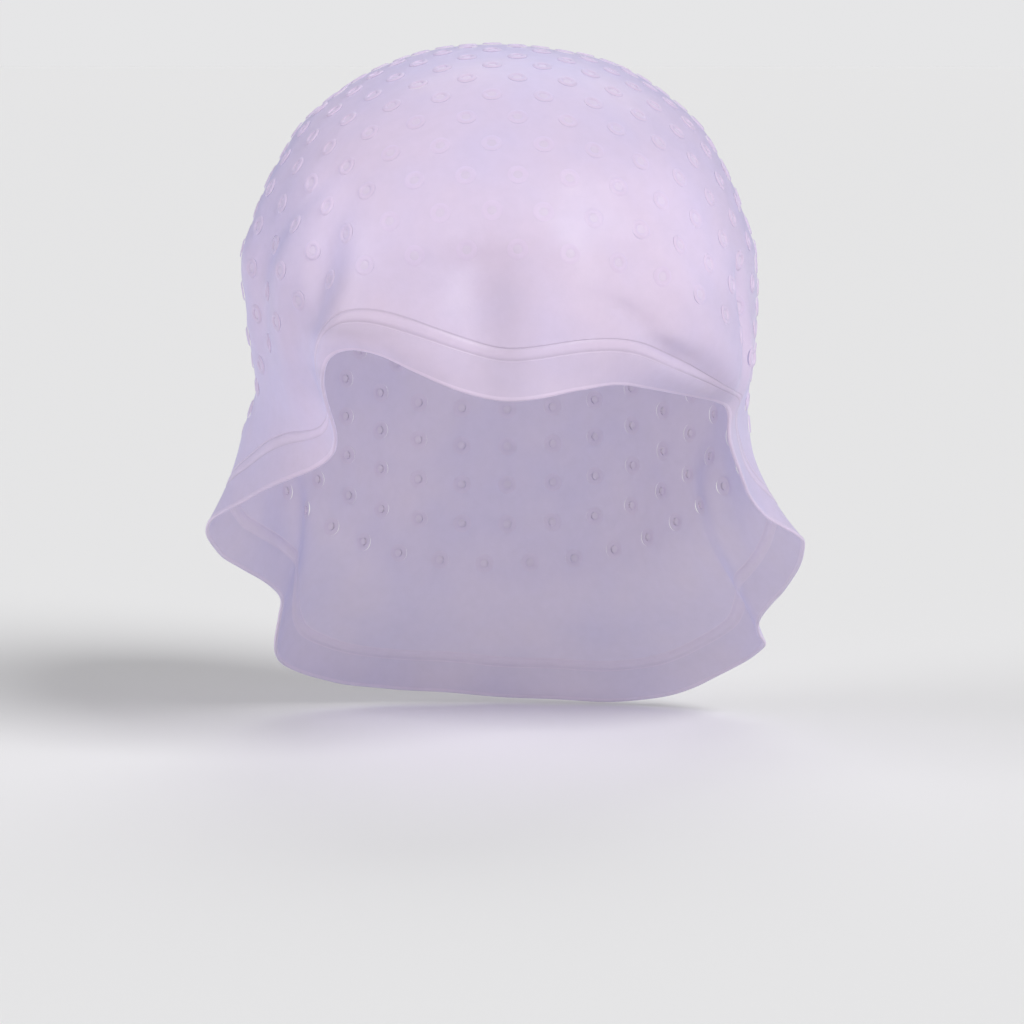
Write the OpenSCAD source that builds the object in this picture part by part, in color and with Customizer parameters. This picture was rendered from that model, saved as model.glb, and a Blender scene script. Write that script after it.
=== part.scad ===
// Pull-through highlighting cap: one soft moulded bag for the hair, worn like
// a close bonnet. The crown carries staggered rows of raised ports, each closed
// by a thin membrane, and the loose skirt ends in a flat hem band between a
// raised bead and a rounded lip.
// Frame: +Z up, front of the cap towards -Y, wearer's left towards +X.
// Origin: on the upright axis of the crown, level with the lowest hem point.
// All lengths are in millimetres and all angles in degrees.

/* [Crown] */
// Half width of the crown, ear to ear
crown_half_width = 84; // [76:0.5:92]
// Half depth of the crown, forehead to back of the head
crown_half_depth = 102; // [92:0.5:112]
// Height of the crown's top above the lowest point of the hem
crown_height = 232.5; // [215:0.5:250]
// Height of the rounded part of the crown, from its widest level to its top
crown_rise = 80; // [70:1:90]
// How square the crown's outline is: 2 is an ellipse, higher is squarer
crown_squareness = 2.15; // [2:0.01:2.4]
// Backward tilt of the axis that the crown is lofted around
crown_tilt = 24; // [15:1:30]

/* [Wall] */
// Thickness of the moulded wall
wall = 1.0; // [0.6:0.1:1.6]

/* [Hem] */
// Distance from the free edge to the near side of the raised bead
band_width = 12; // [9:0.5:14]
// Width of the raised bead
bead_width = 4.4; // [3:0.2:6]
// Height of the bead over the wall
bead_rise = 0.4; // [0.4:0.1:1.4]
// Width of the rounded lip at the free edge
lip_width = 1.4; // [1:0.1:2.2]
// How far the lip swells past each face of the wall
lip_swell = 0.15; // [0.1:0.05:0.5]

/* [Ports] */
// Outer diameter of a raised port ring
ring_outer_d = 6.5; // [5:0.1:8]
// Diameter of the membrane inside a ring
ring_inner_d = 2.8; // [1.8:0.1:4]
// Height of a ring over the outside of the wall
ring_rise = 0.5; // [0.3:0.1:1.2]
// Thickness of the membrane that closes a port
membrane = 0.35; // [0.2:0.05:0.6]
// Distance between neighbouring ports in one row
port_pitch = 16; // [14:0.5:22]
// Angle between rows, seen from the middle of the crown
row_step = 7; // [6.5:0.1:9]
// Backward tilt of the axis that the rows of ports go round
row_tilt = 31; // [26:0.5:36]
// Number of rows of ports
row_count = 18; // [4:1:18]

/* [Mesh] */
// Columns of facets round the cap
columns = 84; // [60:12:96]
// Rows of facets from the top of the crown down to the skirt
crown_rows = 12; // [10:1:14]
// Rows of facets down the skirt
skirt_rows = 8; // [6:1:10]

/* [Hidden] */
lilac = [0.83, 0.76, 0.89];

// The edge and fold tables are drawn for an 84 x 102 x 232.5 crown
size_ratio = [crown_half_width / 84, crown_half_depth / 102, crown_height / 232.5];
centre = [0, 0, crown_height - crown_rise];
// The crown's lower half is a much taller ellipsoid, so the sides hang almost straight
crown_drop = 330;

// Unit vectors across an axis tilted backwards: along it, and towards the front
function tilted_up(tilt) = [0, sin(tilt), cos(tilt)];
function tilted_front(tilt) = [0, -cos(tilt), sin(tilt)];
side = [1, 0, 0];
loft_up = tilted_up(crown_tilt);
loft_front = tilted_front(crown_tilt);

// The free edge, once round the cap: x, y, z, outward flare of the wall from
// the vertical (negative is tucked under), the angle from the lofting axis at
// which the skirt leaves the crown, and the share of the band's full width that
// is left where the edge is gathered.
edge = [
  // over the forehead
  [0, -103.5, 124, 0, 104, 1], [12, -103.2, 124.5, -2, 104, 1], [24, -99, 126.5, -8, 103, 1],
  [36.2, -90, 127.7, -30, 101, 0.95], [47.3, -78, 125.5, -50, 99, 0.8],
  // tuck under the temple on the +X side
  [59.8, -61, 122, -66, 98, 0.6], [68.8, -47, 119.1, -66, 98, 0.42],
  [73.1, -38, 115.3, -40, 99, 0.4], [74, -34, 106, -6, 100, 0.5],
  [78, -27, 95.5, 12, 100, 0.75], [82, -20, 86, 18, 100, 0.95],
  // flare over the ear on the +X side
  [87.5, -12, 79, 22, 100, 1], [94, -3, 74.5, 28, 101, 1], [99, 6, 71, 34, 102, 1],
  [102, 16, 67, 38, 103, 1], [101, 28, 58, 38, 104, 1], [97, 38, 49.5, 30, 105, 1],
  [92.5, 46, 43, 18, 107, 1],
  // tuck and smaller flare behind the ear
  [89, 53, 36.5, 10, 108, 1], [89.5, 60, 31, 9, 110, 1], [92, 67, 26.5, 13, 111, 1],
  [90, 74, 23, 16, 112, 1], [85.5, 82, 18.5, 14, 112, 1],
  // across the nape
  [77, 91, 12.5, 10, 113, 1], [67.5, 97, 7, 7, 113, 1], [56, 102, 3, 5, 113, 1],
  [38, 108.5, 0.5, 8, 113, 1], [18, 110, 1.5, 7, 113, 1], [0, 112.5, 2, 9, 113, 1],
  [-18, 110.5, 3.5, 6, 113, 1], [-38, 109, 5, 8, 113, 1], [-55, 103, 8, 6, 113, 1],
  // smaller flare and tuck on the -X side
  [-66, 97, 11.5, 7, 112, 1], [-74, 88, 15.5, 10, 111, 1], [-78, 78, 20.5, 13, 110, 1],
  [-78, 68, 27.5, 11, 109, 1], [-76, 57, 37.5, 6, 108, 1], [-75, 49, 44.5, 6, 107, 1],
  // flare over the ear on the -X side
  [-78.5, 41, 50.5, 11, 106, 1], [-85.5, 30, 56.5, 18, 105, 1], [-93, 18, 62.5, 24, 103, 1],
  [-97, 5, 70.5, 26, 102, 1], [-96, -5, 76.5, 22, 101, 1], [-90.5, -15, 81, 15, 101, 1],
  [-84, -25, 85, 11, 101, 1], [-75, -38, 91, 8, 101, 1], [-67, -48, 95, 5, 102, 0.95],
  // corner held against the temple
  [-59.5, -57, 98.5, 2, 103, 0.8], [-53.5, -63, 103.4, -4, 103, 0.55],
  [-52.1, -69, 110.3, -10, 103, 0.36],
  // arch standing off the forehead
  [-54.1, -76, 119.2, -20, 102, 0.32], [-55.2, -83, 128.2, -32, 101, 0.36],
  [-52.7, -88.5, 135.8, -41, 100, 0.56], [-46.2, -92.5, 138.7, -46, 99, 0.78],
  [-37, -96, 137.3, -42, 99, 0.88], [-26, -100, 132.4, -28, 101, 0.97],
  [-13, -102.5, 127, -14, 103, 1]];

// Folds in the hanging wall: bearing and height of the top end, bearing and
// height of the bottom end, half width in degrees, depth (outwards is positive).
// Bearings run from the front towards +X.
folds = [
  [-34, 160, -36, 108, 4.5, -4.8],  // hollow beside the arch
  [-24, 180, -25, 146, 6.5, 2.2],  // swell over the arch
  [-11, 166, -32, 146, 14, -2.2],  // slanting hollow from the forehead down to the arch
  [-42, 188, -55, 168, 5, -1.7],  // crease over the temple, -X side
  [-57, 166, -62, 136, 5, -1.8],
  [-47, 170, -50, 125, 5, 1.4],  // swells on each side of that crease
  [-66, 186, -74, 140, 7, 2.2],
  [-3.5, 172, -4, 126, 5, -2.8],  // hollow over the middle of the forehead
  [4, 166, 5, 126, 7, -1.2],
  [-14, 168, -15, 134, 6, 1.4],  // swells on each side of it
  [13, 172, 14, 134, 7, 1.6],
  [22, 152, 33, 136, 3.5, -2.4],  // slanting fold, +X side
  [33, 138, 52, 122, 5, -4.0],
  [30, 172, 46, 138, 6, 2.0],
  [60, 154, 61, 112, 3, -4.5],  // crease above the tuck
  [-92, 150, -92, 118, 28, -4.2],  // waist over the ear, -X side
  [-90, 198, -90, 176, 30, -1.8],  // shoulders drawn in a little
  [90, 198, 90, 176, 30, -1.5],
  [96, 130, 100, 95, 9, -1.8],
  [140, 110, 138, 60, 10, -2.0],
  [175, 130, 172, 60, 12, 2.0],
  [-150, 110, -146, 60, 9, -2.2],
  [-108, 130, -112, 90, 9, -1.8],
  [125, 84, 121, 40, 4.5, -3.4],  // hollows above the gathers behind the ears
  [-127, 80, -127, 42, 4.5, -2.6]];
// As shares of a fold's height: how far it runs past each end, the length over
// which it fades there, and how far past each end it keeps its slant
fold_overrun = 0.45;
fold_fade = 0.6;
fold_slant = 0.3;
// Points nearer the upright axis than this are left alone by the folds
fold_clear_r = 5;

function unit(v) = v / norm(v);
function wrap(angle) = angle - 360 * round(angle / 360);
function clamp(value, low, high) = max(low, min(high, value));
function mix(a, b, t) = a + (b - a) * t;
function smooth(t) = let(s = clamp(t, 0, 1)) s * s * (3 - 2 * s);
// Length travelled along a line of points on reaching each of them
function travelled(points) =
  let(last = len(points) - 1)
  [for (i = 0, s = 0; i <= last;
        s = s + (i < last ? norm(points[i + 1] - points[i]) : 0), i = i + 1) s];

// One fold's push on the wall at a bearing and height
function fold_push(fold, bearing, z) =
  let(t = (fold[1] - z) / (fold[1] - fold[3]),
      middle = mix(fold[0], fold[2], clamp(t, -fold_slant, 1 + fold_slant)),
      offset = wrap(bearing - middle) / fold[4],
      fade = smooth((t + fold_overrun) / fold_fade) * smooth((1 + fold_overrun - t) / fold_fade))
  fold[5] * fade * exp(-offset * offset);
// Moves a point of the wall out or in by all the folds, times a weight
function folded(p, weight = 1) =
  let(r = norm([p.x, p.y]))
  r < fold_clear_r ? p :
  let(bearing = atan2(p.x, -p.y),
      pushes = [for (fold = folds) fold_push(fold, bearing, p.z / size_ratio.z)],
      share = weight * (pushes * [for (fold = folds) 1]) / r)
  [p.x * (1 + share), p.y * (1 + share), p.z];

// Superellipsoid measure of a point from the crown's middle: 1 on the plain crown
function crown_measure(d) =
  pow(abs(d.x) / crown_half_width, crown_squareness)
  + pow(abs(d.y) / crown_half_depth, crown_squareness)
  + pow(abs(d.z) / (d.z > 0 ? crown_rise : crown_drop), crown_squareness);
// Point of the plain crown in a direction, measured from its middle
function crown_hit(d) = d * pow(crown_measure(d), -1 / crown_squareness);

// Loft coordinates: bearing round the lofting axis and angle from that axis
function loft_bearing(d) = atan2(d * side, d * loft_front);
function outward(bearing) = cos(bearing) * loft_front + sin(bearing) * side;
function crown_point(bearing, angle) =
  centre + crown_hit(cos(angle) * loft_up + sin(angle) * outward(bearing));

// Closed smooth curve through the edge table; u counts table rows
function edge_row(i) = edge[(i + 2 * len(edge)) % len(edge)];
function edge_at(u) =
  let(i = floor(u), t = u - i,
      a = edge_row(i - 1), b = edge_row(i), c = edge_row(i + 1), d = edge_row(i + 2))
  0.5 * (2 * b + (c - a) * t + (2 * a - 5 * b + 4 * c - d) * t * t
         + (3 * b - a - 3 * c + d) * t * t * t);
function edge_point(u) = let(e = edge_at(u)) [for (i = [0 : 2]) e[i] * size_ratio[i]];

// Equal steps of length along the free edge
fine = 8;  // samples per row of the edge table
fine_last = fine * len(edge);
fine_points = [for (i = [0 : fine_last]) edge_point(i / fine)];
fine_lengths = travelled(fine_points);
u_by_length = [for (i = [0 : fine_last]) [fine_lengths[i], i / fine]];
column_u = [for (c = [0 : columns - 1]) lookup(fine_lengths[fine_last] * c / columns, u_by_length)];

// One column of the wall: bearing, angle at which the skirt leaves the crown,
// control points of the skirt's curve from there to the free edge, band share
BEARING = 0;
LEAVE = 1;
CURVE = 2;
SHARE = 3;
// Handle lengths of that curve, as shares of the distance between its ends
crown_pull = 0.40;
edge_pull = 0.42;
function column(u) =
  let(e = edge_at(u), flare = e[3], leave = e[4], end = edge_point(u),
      bearing = loft_bearing(end - centre), out = outward(bearing),
      // the vertical as seen in the column's own plane, and outwards square to it
      up_dir = unit(cos(crown_tilt) * loft_up + cos(bearing) * sin(crown_tilt) * out),
      out_dir = unit(out - (out * up_dir) * up_dir),
      rising = cos(flare) * up_dir - sin(flare) * out_dir,
      start = crown_point(bearing, leave),
      falling = unit(crown_point(bearing, leave + 0.5) - start),
      span = norm(end - start))
  [bearing, leave,
   [start, start + crown_pull * span * falling, end + edge_pull * span * rising, end], e[5]];
cols = [for (u = column_u) column(u)];

// Place v along a column's skirt curve: 0 at the crown, 1 at the free edge
function plain_skirt(col, v) =
  let(u = 1 - v, q = col[CURVE])
  u * u * u * q[0] + 3 * u * u * v * q[1] + 3 * u * v * v * q[2] + v * v * v * q[3];
function skirt_point(col, v) = folded(plain_skirt(col, v), 1 - v * v);

// Distance of a point from the free edge, looking a few columns to each side
look_aside = 9;
function edge_end(c) = cols[(c + columns) % columns][CURVE][3];
function edge_gap(p, c) =
  min([for (j = [-look_aside : look_aside])
    let(a = edge_end(c + j), ab = edge_end(c + j + 1) - a,
        t = clamp(((p - a) * ab) / (ab * ab), 0, 1))
    norm(p - a - ab * t)]);
// Place on a column's skirt curve at a given distance from the free edge, by halving
function at_gap(c, gap, lo = 0.05, hi = 1, n = 12) =
  let(m = (lo + hi) / 2)
  n == 0 ? m :
  edge_gap(skirt_point(cols[c], m), c) > gap ? at_gap(c, gap, m, hi, n - 1)
                                             : at_gap(c, gap, lo, m, n - 1);
// Where each part of the skirt starts or ends, column by column
v_crown = [for (col = cols) 0];
v_bead = [for (c = [0 : columns - 1]) at_gap(c, (band_width + bead_width) * cols[c][SHARE])];
v_band = [for (c = [0 : columns - 1]) at_gap(c, band_width * cols[c][SHARE])];
v_lip = [for (c = [0 : columns - 1]) at_gap(c, lip_width)];
v_edge = [for (col = cols) 1];

// Rows of points in each part, as shares of the way down it
skirt_parts = [for (r = [1 : skirt_rows]) r / skirt_rows];
bead_parts = [0.2, 0.8, 1];
band_parts = [0.5, 1];
lip_parts = [0.35, 0.8, 1];
function rows_between(from, to, parts) =
  [for (t = parts) [for (c = [0 : columns - 1]) skirt_point(cols[c], mix(from[c], to[c], t))]];

// The outer face of the whole wall as rows of points, from the top down
grid = concat(
  [for (r = [1 : crown_rows])
    [for (col = cols) folded(crown_point(col[BEARING], col[LEAVE] * r / crown_rows))]],
  rows_between(v_crown, v_bead, skirt_parts),
  rows_between(v_bead, v_band, bead_parts),
  rows_between(v_band, v_lip, band_parts),
  rows_between(v_lip, v_edge, lip_parts));
// The row on which each part starts
row_skirt = crown_rows - 1;
row_bead = row_skirt + skirt_rows;
row_band = row_bead + len(bead_parts);
row_lip = row_band + len(band_parts);
row_edge = row_lip + len(lip_parts);
apex = folded(crown_point(0, 0));

function out_normal(r, c) =
  let(above = r == 0 ? apex : grid[r - 1][c], below = grid[min(r + 1, row_edge)][c],
      before = grid[r][(c + columns - 1) % columns], after = grid[r][(c + 1) % columns])
  unit(cross(below - above, after - before));
normals = [for (r = [0 : row_edge]) [for (c = [0 : columns - 1]) out_normal(r, c)]];
apex_normal = unit(cross(grid[0][0] - apex, grid[0][columns / 4] - apex));

// A profile is a list of [row, lift off the outer face], one for each ring of points
function profile_points(profile) =
  [for (q = profile, c = [0 : columns - 1]) grid[q[0]][c] + q[1] * normals[q[0]][c]];
// Plain wall between two rows: down the outer face, back up the inner one
function wall_profile(first, last) =
  concat([for (r = [first : last]) [r, 0]], [for (i = [0 : last - first]) [last - i, -wall]]);
// Faces between successive rings; a closed profile also joins the last to the first
function ring_faces(rings, closed = true) =
  [for (i = [0 : rings - (closed ? 1 : 2)], c = [0 : columns - 1])
    let(a = i * columns, b = (i + 1) % rings * columns, d = (c + 1) % columns)
    each [[a + c, b + d, b + c], [a + c, a + d, b + d]]];
// A hoop of wall with a closed profile
module hoop(profile) {
  polyhedron(points = profile_points(profile), faces = ring_faces(len(profile)), convexity = 12);
}

// Edge curve position by loft bearing, once round from the front
u_by_bearing = [for (i = [0 : fine_last])
  let(bearing = loft_bearing(fine_points[i] - centre))
  [i == fine_last ? 360 : bearing < 0 ? bearing + 360 : bearing, i / fine]];
// Place on a skirt curve at a straight distance from its start, by halving
function reach(col, far, lo = 0, hi = 0.9, n = 12) =
  let(m = (lo + hi) / 2)
  n == 0 ? m :
  norm(plain_skirt(col, m) - col[CURVE][0]) < far ? reach(col, far, m, hi, n - 1)
                                                  : reach(col, far, lo, m, n - 1);
// The wall at loft coordinates: on the crown, or on the skirt once past the
// line where the skirt leaves the crown
function wall_at(bearing, angle) =
  let(col = column(lookup(bearing < 0 ? bearing + 360 : bearing, u_by_bearing)))
  angle <= col[LEAVE] ? folded(crown_point(bearing, angle)) :
  let(past = norm(crown_point(bearing, angle) - crown_point(bearing, col[LEAVE])))
  skirt_point(col, reach(col, past));

// Ports sit in level rows round a tilted axis through the crown's highest
// point along that axis
row_up = tilted_up(row_tilt);
row_front = tilted_front(row_tilt);
top_power = 1 / (crown_squareness - 1);
row_top = crown_hit([0, crown_half_depth * pow(sin(row_tilt) * crown_half_depth, top_power),
                     crown_rise * pow(cos(row_tilt) * crown_rise, top_power)]);
first_row = 110.9;  // angle of the lowest row from the row axis, at the front
row_shifts = [5.5, -2.5];  // start of even and odd rows, along the row from the front
row_samples = 36;

// Point of the crown, from its middle, on a level row at a turn round the row
// axis; the distance from the axis is found by halving
function row_point(level, turn, lo = 0, hi = 150, n = 16) =
  let(m = (lo + hi) / 2,
      d = row_top + (level - row_top * row_up) * row_up
          + m * (cos(turn) * row_front + sin(turn) * side))
  n == 0 ? d :
  crown_measure(d) > 1 ? row_point(level, turn, lo, m, n - 1)
                       : row_point(level, turn, m, hi, n - 1);
// Turn round the row axis by length along the row
function turn_by_length(level) =
  let(turns = [for (i = [0 : row_samples]) 360 * i / row_samples],
      lengths = travelled([for (turn = turns) row_point(level, turn)]))
  [for (i = [0 : row_samples]) [lengths[i], turns[i]]];
function loft_of(d) = [loft_bearing(d), acos(d * loft_up / norm(d))];
function row_places(k) =
  let(angle = first_row - row_step * k,
      level = crown_hit(cos(angle) * row_up + sin(angle) * row_front) * row_up,
      table = turn_by_length(level), girth = table[row_samples][0],
      count = max(4, round(girth / port_pitch)))
  [for (i = [0 : count - 1])
    let(s = row_shifts[k % 2] + girth * i / count,
        along = s < 0 ? s + girth : s > girth ? s - girth : s)
    loft_of(row_point(level, lookup(along, table)))];
port_places = concat([for (k = [0 : row_count - 1]) each row_places(k)], [loft_of(row_top)]);
// Centre and outward direction of each port, from two points of wall close by
ports = [for (q = port_places)
  let(p = wall_at(q[0], q[1]), below = wall_at(q[0], q[1] + 1), beside = wall_at(q[0] + 2, q[1]))
  [p, unit(cross(below - p, beside - p))]];

port_sides = 24;
ring_sink = 0.15;  // how far a ring stands past the inside of the wall

// Puts a copy at every port, with +Z turned to the port's outward direction
module at_ports() {
  for (port = ports) {
    n = port[1];
    translate(port[0]) rotate([0, acos(clamp(n.z, -1, 1)), atan2(n.y, n.x)]) children();
  }
}
// Round cutter long enough to pass through the wall and a ring
module port_cutter(diameter) {
  translate([0, 0, -4 * wall]) cylinder(d = diameter, h = 8 * wall, $fn = port_sides);
}

// Upper part of the bag, pierced where the ports sit
module crown_shell() {
  profile = wall_profile(0, row_skirt);
  rings = len(profile);
  top = rings * columns;  // index of the outer apex; the inner one follows it
  inner = (rings - 1) * columns;
  color(lilac) difference() {
    polyhedron(
      points = concat(profile_points(profile), [apex, apex - wall * apex_normal]),
      faces = concat(
        ring_faces(rings, closed = false),
        [for (c = [0 : columns - 1]) let(d = (c + 1) % columns)
          each [[top, d, c], [top + 1, inner + c, inner + d]]]),
      convexity = 12);
    at_ports() port_cutter(ring_outer_d);
  }
}

// Lower hanging part of the bag, down to the bead
module skirt() {
  color(lilac) hoop(wall_profile(row_skirt, row_bead));
}

// Raised bead between the skirt and the band
module hem_bead() {
  color(lilac) hoop([[row_bead, 0], [row_bead + 1, bead_rise], [row_bead + 2, bead_rise],
                     [row_band, 0], [row_band, -wall], [row_bead, -wall]]);
}

// Flat band between the bead and the lip
module hem_band() {
  color(lilac) hoop(wall_profile(row_band, row_lip));
}

// Rounded lip at the free edge
module rim_lip() {
  color(lilac) hoop([[row_lip, 0], [row_lip + 1, lip_swell], [row_lip + 2, lip_swell],
                     [row_edge, -wall / 2], [row_lip + 2, -wall - lip_swell],
                     [row_lip + 1, -wall - lip_swell], [row_lip, -wall]]);
}

// Raised rings, each filling its hole in the crown
module port_rings() {
  color(lilac) at_ports() difference() {
    translate([0, 0, -wall - ring_sink])
      cylinder(d = ring_outer_d, h = wall + ring_sink + ring_rise, $fn = port_sides);
    port_cutter(ring_inner_d);
  }
}

// Thin membranes, one closing each ring, level with the outside of the wall
module port_membranes() {
  color(lilac) at_ports()
    translate([0, 0, -membrane]) cylinder(d = ring_inner_d, h = membrane, $fn = port_sides);
}

crown_shell();
skirt();
hem_bead();
hem_band();
rim_lip();
port_rings();
port_membranes();
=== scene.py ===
"""Highlighting cap: the soft silicone pieces, their materials, the studio and the camera."""
import math

import bmesh
import bpy
import numpy as np
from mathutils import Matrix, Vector
from mathutils.kdtree import KDTree


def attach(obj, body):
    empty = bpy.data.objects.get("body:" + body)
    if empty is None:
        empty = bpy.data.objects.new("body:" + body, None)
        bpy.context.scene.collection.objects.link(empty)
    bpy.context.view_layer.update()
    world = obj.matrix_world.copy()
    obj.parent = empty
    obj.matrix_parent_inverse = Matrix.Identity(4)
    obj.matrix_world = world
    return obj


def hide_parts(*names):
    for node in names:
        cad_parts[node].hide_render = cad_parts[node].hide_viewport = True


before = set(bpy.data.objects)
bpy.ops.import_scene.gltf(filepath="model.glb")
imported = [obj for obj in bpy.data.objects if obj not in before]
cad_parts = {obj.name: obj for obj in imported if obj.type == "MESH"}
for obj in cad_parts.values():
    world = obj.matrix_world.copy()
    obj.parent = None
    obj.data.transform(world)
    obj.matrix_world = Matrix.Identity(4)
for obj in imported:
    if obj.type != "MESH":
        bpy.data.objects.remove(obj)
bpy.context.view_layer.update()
MM = 0.001

# ------------------------------------------------------------------ shape of the bag (millimetres)
HALF_W, HALF_D, TOP, RISE, DROP, POWER, TILT = 84.0, 102.0, 232.5, 80.0, 330.0, 2.15, math.radians(24.0)
WALL, BAND, BEAD_W, LIP_W, LIP_S, PILLOW = 1.0, 12.0, 4.4, 1.4, 0.12, 0.2
CENTRE = np.array([0.0, 0.0, TOP - RISE])
AX_UP = np.array([0, math.sin(TILT), math.cos(TILT)])
AX_FRONT = np.array([0, -math.cos(TILT), math.sin(TILT)])
AX_SIDE = np.array([1.0, 0, 0])

# the free edge: x, y, z, outward flare, angle at which the skirt leaves the crown, share of the band's full width
EDGE = np.array([
    (0, -103.5, 124, 0, 104, 1), (12, -103.2, 124.5, -2, 104, 1), (24, -99, 126.5, -8, 103, 1),
    (36.2, -90, 127.7, -30, 101, 0.95), (47.3, -78, 125.5, -50, 99, 0.8), (59.8, -61, 122, -66, 98, 0.6),
    (68.8, -47, 119.1, -66, 98, 0.42), (73.1, -38, 115.3, -40, 99, 0.4), (74, -34, 106, -6, 100, 0.5),
    (78, -27, 95.5, 12, 100, 0.75), (82, -20, 86, 18, 100, 0.95),
    (87.5, -12, 79, 22, 100, 1), (94, -3, 74.5, 28, 101, 1), (99, 6, 71, 34, 102, 1),
    (102, 16, 67, 38, 103, 1), (101, 28, 58, 38, 104, 1), (97, 38, 49.5, 30, 105, 1),
    (92.5, 46, 43, 18, 107, 1),
    (89, 53, 36.5, 10, 108, 1), (89.5, 60, 31, 9, 110, 1), (92, 67, 26.5, 13, 111, 1),
    (90, 74, 23, 16, 112, 1), (85.5, 82, 18.5, 14, 112, 1),
    (77, 91, 12.5, 10, 113, 1), (67.5, 97, 7, 7, 113, 1), (56, 102, 3, 5, 113, 1),
    (38, 108.5, 0.5, 8, 113, 1), (18, 110, 1.5, 7, 113, 1), (0, 112.5, 2, 9, 113, 1),
    (-18, 110.5, 3.5, 6, 113, 1), (-38, 109, 5, 8, 113, 1), (-55, 103, 8, 6, 113, 1),
    (-66, 97, 11.5, 7, 112, 1), (-74, 88, 15.5, 10, 111, 1), (-78, 78, 20.5, 13, 110, 1),
    (-78, 68, 27.5, 11, 109, 1), (-76, 57, 37.5, 6, 108, 1), (-75, 49, 44.5, 6, 107, 1),
    (-78.5, 41, 50.5, 11, 106, 1), (-85.5, 30, 56.5, 18, 105, 1), (-93, 18, 62.5, 24, 103, 1),
    (-97, 5, 70.5, 26, 102, 1), (-96, -5, 76.5, 22, 101, 1), (-90.5, -15, 81, 15, 101, 1),
    (-84, -25, 85, 11, 101, 1), (-75, -38, 91, 8, 101, 1), (-67, -48, 95, 5, 102, 0.95),
    (-59.5, -57, 98.5, 2, 103, 0.8), (-53.5, -63, 103.4, -4, 103, 0.55), (-52.1, -69, 110.3, -10, 103, 0.36),
    (-54.1, -76, 119.2, -20, 102, 0.32), (-55.2, -83, 128.2, -32, 101, 0.36), (-52.7, -88.5, 135.8, -41, 100, 0.56),
    (-46.2, -92.5, 138.7, -46, 99, 0.78), (-37, -96, 137.3, -42, 99, 0.88), (-26, -100, 132.4, -28, 101, 0.97),
    (-13, -102.5, 127, -14, 103, 1)], float)

# folds: bearing and height of the top end, of the bottom end, half width, depth
FOLDS = [
    (-34, 160, -36, 108, 4.5, -4.8), (-24, 180, -25, 146, 6.5, 2.2), (-11, 166, -32, 146, 14, -2.2),
    (-42, 188, -55, 168, 5, -1.7), (-57, 166, -62, 136, 5, -1.8), (-47, 170, -50, 125, 5, 1.4),
    (-66, 186, -74, 140, 7, 2.2), (-3.5, 172, -4, 126, 5, -2.8), (4, 166, 5, 126, 7, -1.2),
    (-14, 168, -15, 134, 6, 1.4), (13, 172, 14, 134, 7, 1.6), (22, 152, 33, 136, 3.5, -2.4),
    (33, 138, 52, 122, 5, -4.0), (30, 172, 46, 138, 6, 2.0),
    (60, 154, 61, 112, 3, -4.5), (-92, 150, -92, 118, 28, -4.2), (-90, 198, -90, 176, 30, -1.8),
    (90, 198, 90, 176, 30, -1.5), (96, 130, 100, 95, 9, -1.8), (140, 110, 138, 60, 10, -2.0),
    (175, 130, 172, 60, 12, 2.0), (-150, 110, -146, 60, 9, -2.2), (-108, 130, -112, 90, 9, -1.8),
    (125, 84, 121, 40, 4.5, -3.4), (-127, 80, -127, 42, 4.5, -2.6)]


def unit(v):
    return v / np.linalg.norm(v, axis=-1, keepdims=True)


def smooth(t):
    t = np.clip(t, 0, 1)
    return t * t * (3 - 2 * t)


def ripple(p):
    """The slight unevenness of a soft moulded sheet, in millimetres, as a function of place."""
    x, y, z = p[..., 0], p[..., 1], p[..., 2]
    w = (0.30 * np.sin(x * 0.093 + 0.7 + 1.3 * np.sin(z * 0.041)) * np.sin(z * 0.071 + y * 0.052 + 1.1)
         + 0.22 * np.sin(y * 0.117 - 0.4 + 1.1 * np.sin(x * 0.05)) * np.sin(z * 0.103 - x * 0.061)
         + 0.14 * np.sin(x * 0.21 + y * 0.17 + 2.0) * np.sin(z * 0.19 - y * 0.12 + 0.5))
    return w


# painted shade where the sheet stands in its own shade: same layout, with the share of the full shade last, and below
# zero painted light, where the sheet is painted paler
PAINTED_SHADE_AND_LIGHT = [(0.5, 161, 0.5, 124, 5.0, 1.35), (-13, 163, -30, 138, 17, 0.75), (22, 153, 34, 137, 4, 0.4),
          (36, 138, 54, 120, 7, 0.9),
          (35, 190, 42, 160, 16, -1.1), (-38, 190, -32, 167, 8, -1.4), (-27, 142, -27, 134, 13, -1.9),
          (-42, 118, -42, 100, 9, -1.0)]
# where the ports hardly show: over the forehead, but less so to either side of its middle
FAINT = [(0, 205, 0, 140, 38, 1.0), (-31, 192, -31, 170, 7, -0.4), (24, 192, 24, 170, 7, -0.45)]


def fold_push(p, table=FOLDS):
    """The sum of a table of folds at each point, outward positive."""
    az = np.degrees(np.arctan2(p[..., 0], -p[..., 1]))
    push = np.zeros(az.shape)
    for a0, z0, a1, z1, wide, deep in table:
        t = (z0 - p[..., 2]) / (z0 - z1)
        mid = a0 + (a1 - a0) * np.clip(t, -0.3, 1.3)
        d = (az - mid + 180) % 360 - 180
        push += deep * smooth((t + 0.45) / 0.6) * smooth((1.45 - t) / 0.6) * np.exp(-(d / wide) ** 2)
    return push


def folded(p, weight=1.0):
    """Moves wall points in or out by the folds and the ripple, times weight."""
    p = np.asarray(p, float)
    r = np.hypot(p[..., 0], p[..., 1])
    s = np.where(r < 5, 0, fold_push(p) * weight / np.maximum(r, 5))
    q = p.copy()
    q[..., 0] *= 1 + s
    q[..., 1] *= 1 + s
    return q + unit(p - CENTRE) * ripple(p)[..., None]


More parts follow.
